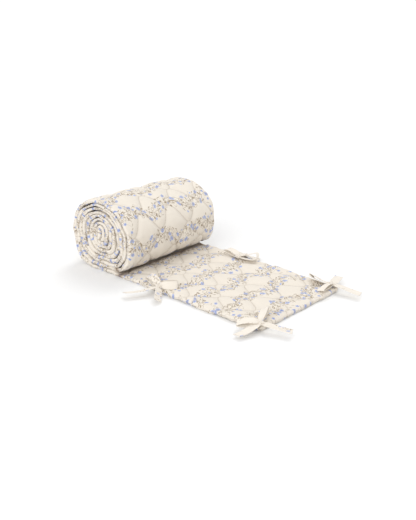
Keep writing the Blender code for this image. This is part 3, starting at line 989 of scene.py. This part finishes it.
def print_colour(tree, u, v):
    """The floral print: blue blossoms and buds, pale flowers, leaves and stems on a cream ground."""
    g = Garlands(tree, u, v)
    colour = mix_colour(tree, cloud(tree, u, v, 0.06, 3), CREAM, tuple(0.96 * c for c in CREAM))
    for wave, swing, phase in ((0.052, 0.0085, 0.0), (0.061, 0.0125, 2.6), (0.045, 0.0165, 4.4),
                               (0.034, 0.0110, 1.2)):
        colour = mix_colour(tree, g.stem(wave, swing, phase, 0.00044) * 0.75, colour, TAUPE)
    for pitch, seed, reach, radius in ((0.0135, 3.0, 0.015, 0.0042), (0.0160, 4.0, 0.020, 0.0056),
                                       (0.0190, 5.0, 0.022, 0.0048)):
        colour = mix_colour(tree, g.curl(pitch, seed, reach, radius, 0.00042) * 0.75, colour, TAUPE)
    for pitch, seed, reach, length, width in ((0.0115, 11.0, 0.018, 0.0046, 0.0015),
                                              (0.0098, 12.0, 0.022, 0.0038, 0.0013),
                                              (0.0128, 13.0, 0.014, 0.0042, 0.0015),
                                              (0.0105, 14.0, 0.021, 0.0040, 0.0012)):
        inside, rand = g.leaf(pitch, seed, reach, length, width)
        colour = mix_colour(tree, inside.below(1.0, 0.15) * 0.8, colour, TAUPE)
        colour = mix_colour(tree, inside.below(0.55, 0.15) * rand[0].below(0.7, 0.01), colour, LEAF)
    distance, rim, _ = g.petals(0.0235, 21.0, 0.010, 0.0052, 5)
    colour = mix_colour(tree, (distance - rim).below(0.0, SOFT) * 0.8, colour, TAUPE)
    colour = mix_colour(tree, (distance - rim).below(-0.00075, SOFT), colour, PALE)
    colour = mix_colour(tree, distance.below(0.0010, SOFT), colour, STAMEN)
    for pitch, seed, side, reach, radius in ((0.0245, 31.0, 0.0140, 0.006, 0.0052),
                                             (0.0430, 32.0, -0.0060, 0.018, 0.0046)):
        distance, rim, rand = g.petals(pitch, seed, reach, radius, 5, side=side)
        tone = mix_colour(tree, rand[2], BLUE, LIGHT_BLUE)
        petal = mix_colour(tree, (distance / rim).run("POWER", 1.5, clamp=True), DEEP_BLUE, tone)
        colour = mix_colour(tree, (distance - rim).below(0.0, SOFT), colour, petal)
        colour = mix_colour(tree, distance.below(0.0008, SOFT), colour, STAMEN)
    distance, rim, _ = g.petals(0.0215, 41.0, 0.022, 0.0027, 3)
    colour = mix_colour(tree, (distance - rim).below(0.0, SOFT), colour, BLUE)
    return colour


def seam_gap(s, y):
    """How far a place is from the nearest quilting seam, as the relief has it."""
    phase = (y - SEAM_SHIFT) * (2.0 * math.pi / SEAM_WAVE)
    swing = phase.run("COSINE") * SEAM_SWING
    wander = (y * SEAM_WANDER_RATE).run("SINE") * SEAM_WANDER
    slope = phase.run("SINE") * (2.0 * math.pi * SEAM_SWING / SEAM_WAVE)
    steep = (slope * slope + 1.0).run("SQRT")
    gaps = []
    for shift, way in ((0.0, -1.0), (SEAM_PITCH, 1.0)):
        place_s = (s - (SEAM_START + shift - SEAM_PITCH) + swing * way - wander) / (2.0 * SEAM_PITCH)
        gaps.append((place_s - place_s.run("FLOOR") - 0.5).run("ABSOLUTE") * (2.0 * SEAM_PITCH))
    return gaps[0].run("MINIMUM", gaps[1]) / steep


def weave_height(u, v, pitch):
    """Plain weave: two crossed threads, from about -1 to 1."""
    warp = (u * (math.pi / pitch)).run("SINE")
    weft = (v * (math.pi / pitch)).run("SINE")
    return warp * weft


def crease_shade_share(s):
    """How much painted shade lies in the crease between the roll and the flat stretch: 1 deep in the crease,
    0 away from it.
    """
    shares = []
    for meets, (depth, reach) in ((ROLL_MEETS, ROLL_CREASE_SHADE), (FLAT_MEETS, FLAT_CREASE_SHADE)):
        past = (s - float(meets + depth)) / reach
        shares.append((past * past * -1.0).run("EXPONENT"))
    return shares[0].run("MAXIMUM", shares[1])


def edge_print(tree, s, y, colour):
    """Narrower garlands of blossoms and leaves along the two long edges and the flat end."""
    long_edge = y.run("ABSOLUTE") - (0.5 * WIDTH - EDGE_GARLAND)
    flat_end = s * -1.0 + EDGE_GARLAND
    for from_line, run in ((long_edge, s + y.run("SIGN") * 1.7), (flat_end, y + 0.9)):
        g = Garlands(tree, from_line + 0.5 * GARLAND_PITCH, run)
        row = from_line.below(-0.028, SOFT) * -1.0 + 1.0
        colour = mix_colour(tree, g.stem(0.047, 0.0060, 1.0, 0.0004) * row * 0.35, colour, TAUPE)
        leaf, _ = g.leaf(0.0105, 61.0, 0.012, 0.0042, 0.0014)
        colour = mix_colour(tree, leaf.below(1.0, 0.15) * row * 0.4, colour, TAUPE)
        distance, rim, rand = g.petals(0.0215, 63.0, 0.010, 0.0042, 5)
        tone = mix_colour(tree, rand[2], BLUE, LIGHT_BLUE)
        petal = mix_colour(tree, (distance / rim).run("POWER", 1.5, clamp=True), DEEP_BLUE, tone)
        colour = mix_colour(tree, (distance - rim).below(0.0, SOFT) * row, colour, petal)
    return colour


def cloth_material(name, quilted):
    """Printed cotton with its weave, soft sheen and bumps; on the band, its stitched seams, painted shade
    along the seams' grooves and painted shade in the crease between the roll and its flat stretch.
    """
    mat = bpy.data.materials.new(name)
    mat.use_nodes = True
    tree = mat.node_tree
    shader = tree.nodes["Principled BSDF"]
    shader.inputs["Roughness"].default_value = 0.88
    shader.inputs["Specular IOR Level"].default_value = 0.25
    shader.inputs["Sheen Weight"].default_value = 0.18
    shader.inputs["Sheen Roughness"].default_value = 0.55
    u, v = uv_numbers(tree, "print")
    colour = print_colour(tree, u, v)
    if quilted:
        s, y = uv_numbers(tree, "cloth")
        colour = edge_print(tree, s, y, colour)
    else:
        colour = mix_colour(tree, 0.25, colour, TIE_CREAM)
    slub = cloud(tree, u, v, 0.0016, 7, 3.0)
    colour = mix_colour(tree, slub * 0.10, colour, (0.60, 0.52, 0.42))
    height = weave_height(u, v, 0.00045) * 0.00004 + slub * 0.00010
    if quilted:
        gap = seam_gap(s, y)
        groove = (gap / 0.0009 * (gap / 0.0009) * -1.0).run("EXPONENT")
        # Painted shade along each seam: the cloth is darkened toward brown in the groove, where its shadow
        # falls
        colour = mix_colour(tree, groove * 0.38, colour, (0.42, 0.33, 0.24))
        # Painted shade: the cloth is darkened toward dark brown deep in the crease between the roll and its
        # flat stretch
        colour = mix_colour(tree, crease_shade_share(s) * 0.8, colour, CREASE_SHADE_COLOUR)
        near = (gap / 0.008 * (gap / 0.008) * -1.0).run("EXPONENT")
        pucker = cloud(tree, u, v, 0.0055, 9, 2.0) * near
        height = height + pucker * 0.0012 - groove * 0.0005 + cloud(tree, u, v, 0.014, 5, 2.0) * 0.0008
    else:
        height = height + cloud(tree, u, v, 0.006, 5, 2.0) * 0.0004
    tree.links.new(colour.socket, shader.inputs["Base Color"])
    bump = tree.nodes.new("ShaderNodeBump")
    bump.inputs["Strength"].default_value = 1.0
    bump.inputs["Distance"].default_value = 1.0
    tree.links.new(height.socket, bump.inputs["Height"])
    tree.links.new(bump.outputs[0], shader.inputs["Normal"])
    return mat


def thread_material():
    """Cream cotton thread."""
    mat = bpy.data.materials.new("quilting_thread")
    mat.use_nodes = True
    shader = mat.node_tree.nodes["Principled BSDF"]
    shader.inputs["Base Color"].default_value = (*THREAD, 1.0)
    shader.inputs["Roughness"].default_value = 0.7
    shader.inputs["Specular IOR Level"].default_value = 0.3
    return mat


def main():
    make_camera()
    make_stage()
    quilt = cloth_material("printed_quilt", True)
    band = make_band(quilt)
    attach(band, "root")
    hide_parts("quilted_band")
    make_stitches(thread_material())
    tie_mat = cloth_material("tie_cloth", False)
    for name, plan in TIES.items():
        make_tie(name, plan, tie_mat)


main()
